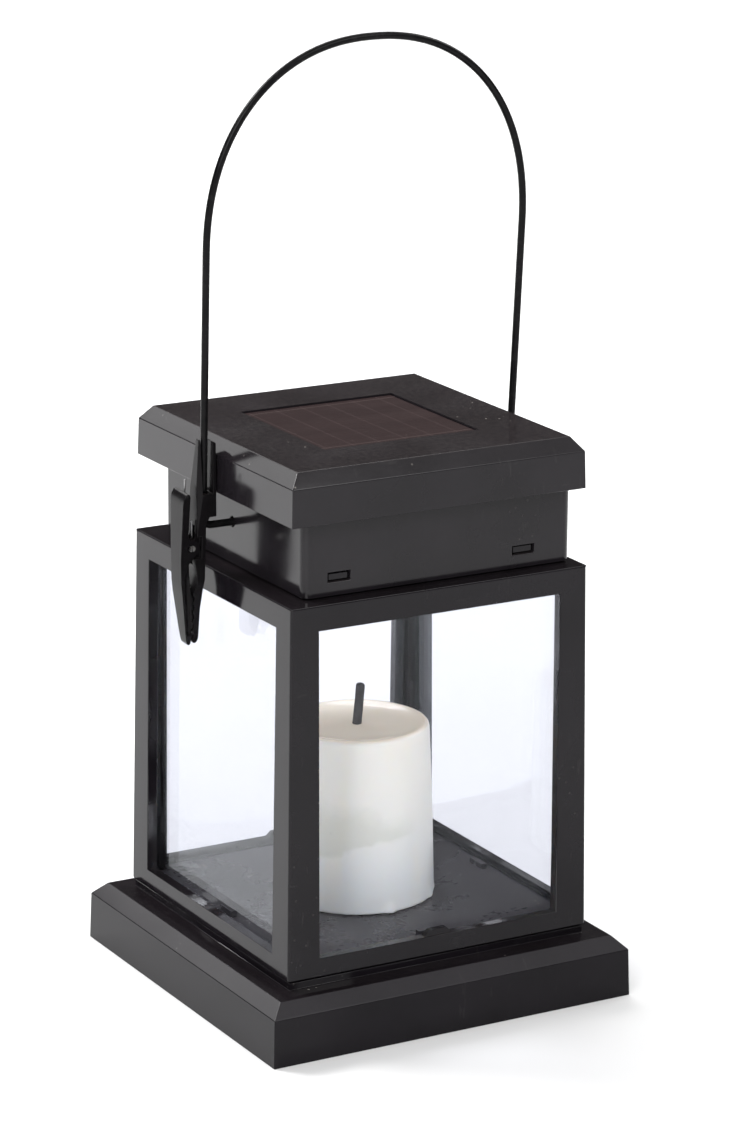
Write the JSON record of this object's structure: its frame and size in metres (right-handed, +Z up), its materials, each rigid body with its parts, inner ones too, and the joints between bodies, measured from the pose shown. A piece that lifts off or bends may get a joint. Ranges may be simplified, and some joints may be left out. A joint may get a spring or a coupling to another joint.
{
  "type": "solar lantern",
  "caption": "Small black square solar lantern: plinth, glazed body with an imitation candle, neck, lid with solar panel, wire bail and a spring clip on the bail.",
  "frame": {"origin": "centre of the plinth's underside, on the surface it stands on", "axes": "+Z up; -Y the front, with the clip on the -X side; the bail turns about X"},
  "size_m": [0.088, 0.088, 0.2086],
  "materials": {
    "black_plastic": "glossy injection-moulded black ABS",
    "clip_plastic": "glossy black plastic, slightly softer sheen",
    "painted_wire": "gloss black paint on steel wire",
    "clear_pane": "clear moulded styrene pane, faint blue tint",
    "wax_plastic": "translucent ivory candle plastic, satin sides and glossy top",
    "white_plastic": "white moulded plastic",
    "wick": "dark grey matt",
    "solar_silicon": "dark maroon-brown amorphous silicon with fine cell lines",
    "solar_resin": "clear cover over the cell, lightly dusty",
    "circuit_board": "green solder mask",
    "ferrite": "dark grey ferrite",
    "led_resin": "warm diffused epoxy",
    "battery_wrap": "green shrink sleeve, unprinted",
    "screw_steel": "zinc-plated steel",
    "spring_steel": "dark spring steel",
    "nickel_contact": "nickel-plated steel",
    "lead_black": "black PVC insulation",
    "lead_red": "red PVC insulation"
  },
  "bodies": {
    "lantern": {"plinth": "black_plastic", "bottom_cover": "black_plastic", "battery_door": "black_plastic", "body_frame": "black_plastic", "neck": "black_plastic", "lid": "black_plastic", "lid_base": "black_plastic", "control_chip": "black_plastic", "pane_front": "clear_pane", "pane_right": "clear_pane", "pane_back": "clear_pane", "pane_left": "clear_pane", "candle_shell": "wax_plastic", "candle_seat": "white_plastic", "wick": "wick", "solar_cell": "solar_silicon", "solar_cover": "solar_resin", "solar_board": "circuit_board", "circuit_board": "circuit_board", "inductor": "ferrite", "led": "led_resin", "battery_cell": "battery_wrap", "cover_screw_1": "screw_steel", "cover_screw_2": "screw_steel", "cover_screw_3": "screw_steel", "cover_screw_4": "screw_steel", "frame_screw_1": "screw_steel", "frame_screw_2": "screw_steel", "frame_screw_3": "screw_steel", "lid_screw_1": "screw_steel", "lid_screw_2": "screw_steel", "lid_screw_3": "screw_steel", "lid_screw_4": "screw_steel", "board_screw_1": "screw_steel", "board_screw_2": "screw_steel", "candle_screw_1": "screw_steel", "candle_screw_2": "screw_steel", "battery_door_screw": "screw_steel", "battery_contact_plate": "nickel_contact", "battery_contact_spring": "nickel_contact", "switch_body": "nickel_contact", "solar_lead": "lead_black", "battery_lead_negative": "lead_black", "battery_lead_positive": "lead_red"},
    "bail": {"bail": "painted_wire"},
    "clip": {"clip_body": "clip_plastic", "clip_pin": "screw_steel", "clip_spring": "spring_steel"},
    "clip_lever": {"clip_lever": "clip_plastic"},
    "switch_knob": {"switch_knob": "black_plastic"}
  },
  "joints": [
    {"name": "bail_hinge", "type": "hinge", "parent": "lantern", "child": "bail", "pos_m": [0, 0, 0.106], "axis": [1, 0, 0], "range_deg": [-113, 107]},
    {"name": "clip_slide", "type": "slide", "parent": "bail", "child": "clip", "axis": [-0.0104, -0.0523, 0.9986], "range_m": [0, 0.04]},
    {"name": "clip_open", "type": "hinge", "parent": "clip", "child": "clip_lever", "pos_m": [-0.0412, 0.00021, 0.102], "axis": [0, 0.9986, 0.0523], "range_deg": [0, 9], "stiffness_Nm_per_rad": 0.06, "springref_deg": -20.05, "deforming": ["clip_spring"]},
    {"name": "switch_slide", "type": "slide", "parent": "lantern", "child": "switch_knob", "axis": [1, 0, 0], "range_m": [0, 0.002]}
  ]
}
